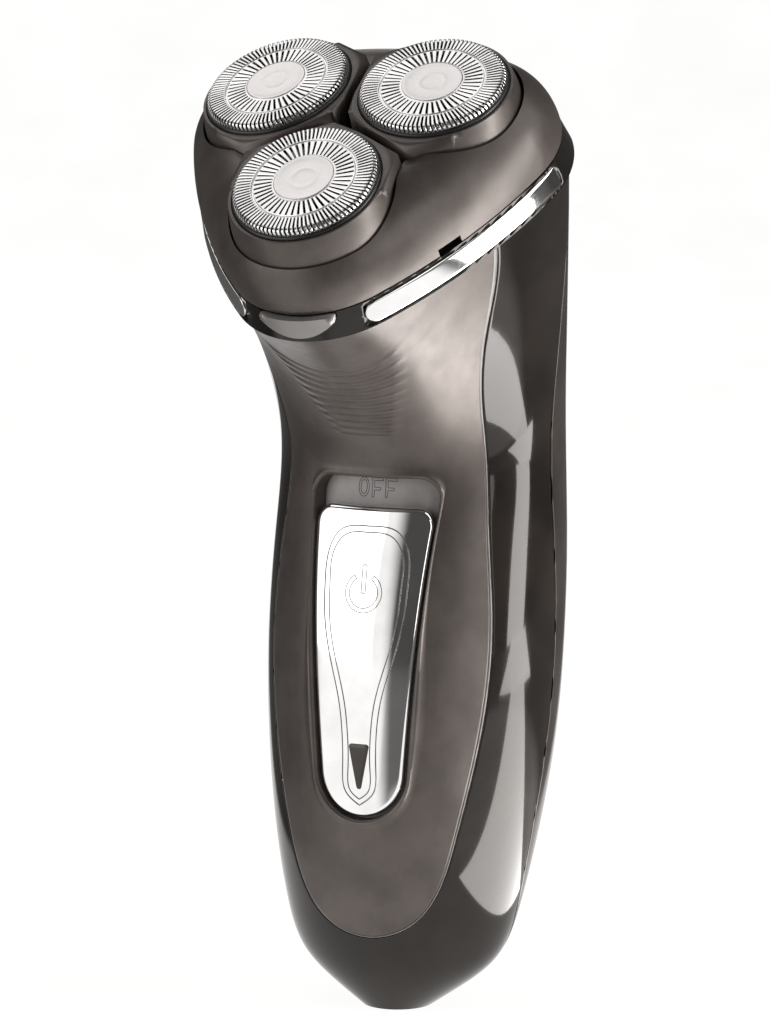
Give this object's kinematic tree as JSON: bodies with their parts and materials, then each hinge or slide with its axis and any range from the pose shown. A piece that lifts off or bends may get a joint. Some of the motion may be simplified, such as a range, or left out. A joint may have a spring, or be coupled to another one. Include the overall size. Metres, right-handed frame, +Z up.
{
  "type": "electric shaver",
  "caption": "Rotary electric shaver: upright handle with slide switch, tilted shaving unit with floating round cutters that hinges open, charging inlet in the base.",
  "frame": {"origin": "centre of the charging inlet's mouth, in the flat of the handle's base", "axes": "+Z up the handle, -Y to the side with the slide switch, +X to the right seen from that side"},
  "size_m": [0.0636, 0.0757, 0.1589],
  "materials": {
    "panel_paint": "satin",
    "gloss_shell": "polished",
    "rear_shell": "satin",
    "black_gloss": "polished",
    "chrome_trim": "polished",
    "seal_grey": "matt",
    "tray_grey": "satin",
    "window_smoke": "smoked",
    "button_grey": "satin",
    "inner_black": "fine texture",
    "foil_steel": "polished",
    "badge_silver": "satin",
    "gear_white": "moulded",
    "plain_steel": "plain",
    "cell_wrap": "shrink sleeve",
    "nickel": "plated",
    "board_green": "solder mask",
    "led_clear": "clear"
  },
  "bodies": {
    "handle": {"front_panel": "panel_paint", "panel_seal": "seal_grey", "side_frame": "gloss_shell", "rear_cover": "rear_shell", "collar": "black_gloss", "collar_strips": "chrome_trim", "chamber_deck": "inner_black", "gear_plate": "plain_steel", "gear_posts": "plain_steel", "gear_axles": "plain_steel", "motor_can": "plain_steel", "motor_endcap": "inner_black", "motor_screws": "plain_steel", "battery_left": "cell_wrap", "battery_right": "cell_wrap", "battery_tabs": "nickel", "circuit_board": "board_green", "slide_switch": "inner_black", "charge_led": "led_clear", "charging_socket": "inner_black", "charging_prongs": "nickel", "switch_tray": "tray_grey", "hinge_pin": "plain_steel"},
    "slider": {"power_slider": "chrome_trim", "slider_window": "window_smoke"},
    "release": {"release_button": "button_grey"},
    "rotor": {"motor_rotor": "plain_steel", "motor_pinion": "gear_white"},
    "head": {"head_cover": "panel_paint", "cutter_retainer": "inner_black"},
    "knob": {"retainer_knob": "gear_white"},
    "gear_front": {"drive_gear_front": "gear_white", "spindle_front": "gear_white"},
    "shaver_front": {"pod_front": "panel_paint"},
    "guard_front": {"guard_cap_front": "foil_steel", "guard_ring_front": "inner_black", "centre_cap_front": "badge_silver"},
    "cutters_front": {"cutter_front": "foil_steel", "cutter_hub_front": "inner_black"},
    "gear_right": {"drive_gear_right": "gear_white", "spindle_right": "gear_white"},
    "shaver_right": {"pod_right": "panel_paint"},
    "guard_right": {"guard_cap_right": "foil_steel", "guard_ring_right": "inner_black", "centre_cap_right": "badge_silver"},
    "cutters_right": {"cutter_right": "foil_steel", "cutter_hub_right": "inner_black"},
    "gear_left": {"drive_gear_left": "gear_white", "spindle_left": "gear_white"},
    "shaver_left": {"pod_left": "panel_paint"},
    "guard_left": {"guard_cap_left": "foil_steel", "guard_ring_left": "inner_black", "centre_cap_left": "badge_silver"},
    "cutters_left": {"cutter_left": "foil_steel", "cutter_hub_left": "inner_black"}
  },
  "joints": [
    {"name": "power_slide", "type": "slide", "parent": "handle", "child": "slider", "axis": [0, 0.1045, 0.9945], "range_m": [0, 0.0042]},
    {"name": "release_push", "type": "slide", "parent": "handle", "child": "release", "axis": [0, 0.788, 0.6157], "range_m": [0, 0.0012], "stiffness_N_per_m": 800, "springref_m": -0.001},
    {"name": "motor_spin", "type": "hinge", "parent": "handle", "child": "rotor", "pos_m": [0, -0.00283, 0.12396], "axis": [0, -0.6157, 0.788], "continuous": true},
    {"name": "head_open", "type": "hinge", "parent": "handle", "child": "head", "pos_m": [0, 0.01046, 0.1516], "axis": [-1, 0, 0], "range_deg": [0, 100]},
    {"name": "knob_turn", "type": "hinge", "parent": "head", "child": "knob", "pos_m": [0, -0.01391, 0.13814], "axis": [0, -0.6157, 0.788], "range_deg": [0, 90]},
    {"name": "gear_spin_front", "type": "hinge", "parent": "handle", "child": "gear_front", "pos_m": [0, -0.0196, 0.12101], "axis": [0, -0.6157, 0.788], "continuous": true},
    {"name": "pod_tilt_front", "type": "hinge", "parent": "head", "child": "shaver_front", "pos_m": [0, -0.03731, 0.12254], "axis": [-1, 0, 0], "range_deg": [0, 3], "stiffness_Nm_per_rad": 0.5, "springref_deg": -2.86},
    {"name": "guard_float_front", "type": "slide", "parent": "shaver_front", "child": "guard_front", "axis": [0, 0.6691, -0.7431], "range_m": [0, 0.001], "stiffness_N_per_m": 500, "springref_m": -0.001},
    {"name": "cutter_spin_front", "type": "hinge", "parent": "guard_front", "child": "cutters_front", "pos_m": [0, -0.03159, 0.13577], "axis": [0, -0.6691, 0.7431], "continuous": true},
    {"name": "gear_spin_right", "type": "hinge", "parent": "handle", "child": "gear_right", "pos_m": [0.01302, -0.00183, 0.13489], "axis": [0, -0.6157, 0.788], "continuous": true},
    {"name": "pod_tilt_right", "type": "hinge", "parent": "head", "child": "shaver_right", "pos_m": [0.02428, -0.00416, 0.14844], "axis": [0.5, -0.6824, -0.5332], "range_deg": [0, 3], "stiffness_Nm_per_rad": 0.5, "springref_deg": -2.86},
    {"name": "guard_float_right", "type": "slide", "parent": "shaver_right", "child": "guard_right", "axis": [-0.0604, 0.5867, -0.8076], "range_m": [0, 0.001], "stiffness_N_per_m": 500, "springref_m": -0.001},
    {"name": "cutter_spin_right", "type": "hinge", "parent": "guard_right", "child": "cutters_right", "pos_m": [0.01333, -0.01339, 0.14998], "axis": [0.0604, -0.5867, 0.8076], "continuous": true},
    {"name": "gear_spin_left", "type": "hinge", "parent": "handle", "child": "gear_left", "pos_m": [-0.01302, -0.00183, 0.13489], "axis": [0, -0.6157, 0.788], "continuous": true},
    {"name": "pod_tilt_left", "type": "hinge", "parent": "head", "child": "shaver_left", "pos_m": [-0.02428, -0.00416, 0.14844], "axis": [0.5, 0.6824, 0.5332], "range_deg": [0, 3], "stiffness_Nm_per_rad": 0.5, "springref_deg": -2.86},
    {"name": "guard_float_left", "type": "slide", "parent": "shaver_left", "child": "guard_left", "axis": [0.0604, 0.5867, -0.8076], "range_m": [0, 0.001], "stiffness_N_per_m": 500, "springref_m": -0.001},
    {"name": "cutter_spin_left", "type": "hinge", "parent": "guard_left", "child": "cutters_left", "pos_m": [-0.01333, -0.01339, 0.14998], "axis": [-0.0604, -0.5867, 0.8076], "continuous": true}
  ],
  "couplings": [
    {"joint": "gear_spin_front", "follows": "motor_spin", "ratio": -0.57895},
    {"joint": "cutter_spin_front", "follows": "motor_spin", "ratio": -0.57895},
    {"joint": "gear_spin_right", "follows": "motor_spin", "ratio": -0.57895},
    {"joint": "cutter_spin_right", "follows": "motor_spin", "ratio": -0.57895},
    {"joint": "gear_spin_left", "follows": "motor_spin", "ratio": -0.57895},
    {"joint": "cutter_spin_left", "follows": "motor_spin", "ratio": -0.57895}
  ]
}
